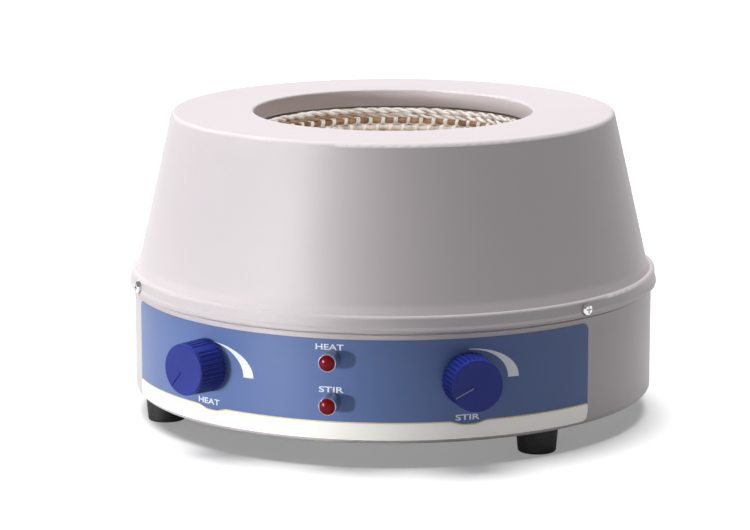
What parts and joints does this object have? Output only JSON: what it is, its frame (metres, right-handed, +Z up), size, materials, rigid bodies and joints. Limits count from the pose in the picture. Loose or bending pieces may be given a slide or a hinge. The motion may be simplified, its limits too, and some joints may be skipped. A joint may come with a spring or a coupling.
{
  "type": "stirring heating mantle",
  "caption": "Electric heating mantle with magnetic stirrer: round painted casing, knitted glass-yarn bowl for a round bottom flask, heat and stir knobs, lamps, mains inlet and switch.",
  "frame": {"origin": "on the bench surface, directly under the vertical axis of the casing", "axes": "+Z up along the casing's axis; -Y towards the front panel with the knobs and lamps; +X to the viewer's right when facing the panel"},
  "size_m": [0.3364, 0.3492, 0.192],
  "materials": {
    "casing_paint": "satin powder coat",
    "plate_zinc": "zinc plated",
    "label_film": "printed satin film",
    "foot_rubber": "matt",
    "fastener_steel": "zinc plated",
    "glass_yarn": "knitted glass yarn",
    "glass_wool": "matt wool",
    "pan_steel": "spun",
    "shield_aluminium": "mill finish",
    "motor_steel": "plated",
    "bearing_brass": "machined",
    "carrier_plastic": "moulded",
    "magnet_ferrite": "ground",
    "knob_plastic": "moulded",
    "pot_case": "passivated",
    "shaft_aluminium": "turned",
    "bezel_chrome": "bright",
    "lens_red": "clear moulded",
    "led_red": "clear",
    "inlet_plastic": "moulded",
    "contact_brass": "nickel plated",
    "fuse_glass": "clear",
    "rocker_plastic": "moulded",
    "board_green": "solder mask",
    "component_black": "moulded",
    "core_iron": "varnished laminations",
    "coil_tape": "tape wrapped",
    "block_ceramic": "unglazed",
    "lead_sleeve": "braided glass sleeve",
    "lead_brown": "cable insulation",
    "lead_red": "cable insulation"
  },
  "bodies": {
    "housing": {"hood_shell": "casing_paint", "base_shell": "casing_paint", "base_plate": "plate_zinc", "front_label": "label_film", "rubber_feet": "foot_rubber", "foot_screws": "fastener_steel", "base_nuts": "fastener_steel", "hood_screws": "fastener_steel", "hood_nut_clips": "fastener_steel", "heating_bowl": "glass_yarn", "bowl_insulation": "glass_wool", "heater_pan": "pan_steel", "bowl_clamp_ring": "pan_steel", "stud_spacers": "fastener_steel", "hood_studs": "fastener_steel", "stud_nuts": "fastener_steel", "heat_shield": "shield_aluminium", "shield_pillars": "fastener_steel", "pillar_screws": "fastener_steel", "motor_bracket": "plate_zinc", "stir_motor": "motor_steel", "motor_bearing": "bearing_brass", "motor_screws": "fastener_steel", "heat_pot_case": "pot_case", "stir_pot_case": "pot_case", "panel_nuts": "fastener_steel", "heat_lamp_bezel": "bezel_chrome", "heat_lamp_lens": "lens_red", "stir_lamp_bezel": "bezel_chrome", "stir_lamp_lens": "lens_red", "lamp_leds": "led_red", "mains_inlet": "inlet_plastic", "inlet_pins": "contact_brass", "mains_switch_case": "inlet_plastic", "control_board": "board_green", "board_posts": "bearing_brass", "triac_heatsink": "shield_aluminium", "board_components": "component_black", "transformer_core": "core_iron", "transformer_coil": "coil_tape", "transformer_bracket": "plate_zinc", "terminal_block": "block_ceramic", "floor_screws": "fastener_steel", "heater_leads": "lead_sleeve", "mains_leads": "lead_brown", "motor_leads": "lead_red"},
    "heat_control": {"heat_knob": "knob_plastic", "heat_knob_grub_screw": "fastener_steel", "heat_pot_shaft": "shaft_aluminium"},
    "stir_control": {"stir_knob": "knob_plastic", "stir_knob_grub_screw": "fastener_steel", "stir_pot_shaft": "shaft_aluminium"},
    "stir_rotor": {"rotor_shaft": "fastener_steel", "magnet_carrier": "carrier_plastic", "drive_magnets": "magnet_ferrite", "carrier_grub_screw": "fastener_steel"},
    "power_rocker": {"mains_switch_rocker": "rocker_plastic"},
    "fuse_holder": {"fuse_drawer": "inlet_plastic", "fuse_link": "fuse_glass"}
  },
  "joints": [
    {"name": "heat_knob_turn", "type": "hinge", "parent": "housing", "child": "heat_control", "pos_m": [-0.07999, -0.14431, 0.0541], "axis": [0.4848, 0.8746, 0], "range_deg": [-11, 289]},
    {"name": "stir_knob_turn", "type": "hinge", "parent": "housing", "child": "stir_control", "pos_m": [0.07999, -0.14431, 0.0541], "axis": [-0.4848, 0.8746, 0], "range_deg": [-34, 266]},
    {"name": "stir_rotor_spin", "type": "hinge", "parent": "housing", "child": "stir_rotor", "pos_m": [0, 0, 0.045], "axis": [0, 0, 1], "continuous": true},
    {"name": "power_rocker_tilt", "type": "hinge", "parent": "housing", "child": "power_rocker", "pos_m": [-0.02, 0.159, 0.0495], "axis": [1, 0, 0], "range_deg": [0, 18]},
    {"name": "fuse_drawer_slide", "type": "slide", "parent": "housing", "child": "fuse_holder", "axis": [0, 1, 0], "range_m": [0, 0.012]}
  ]
}
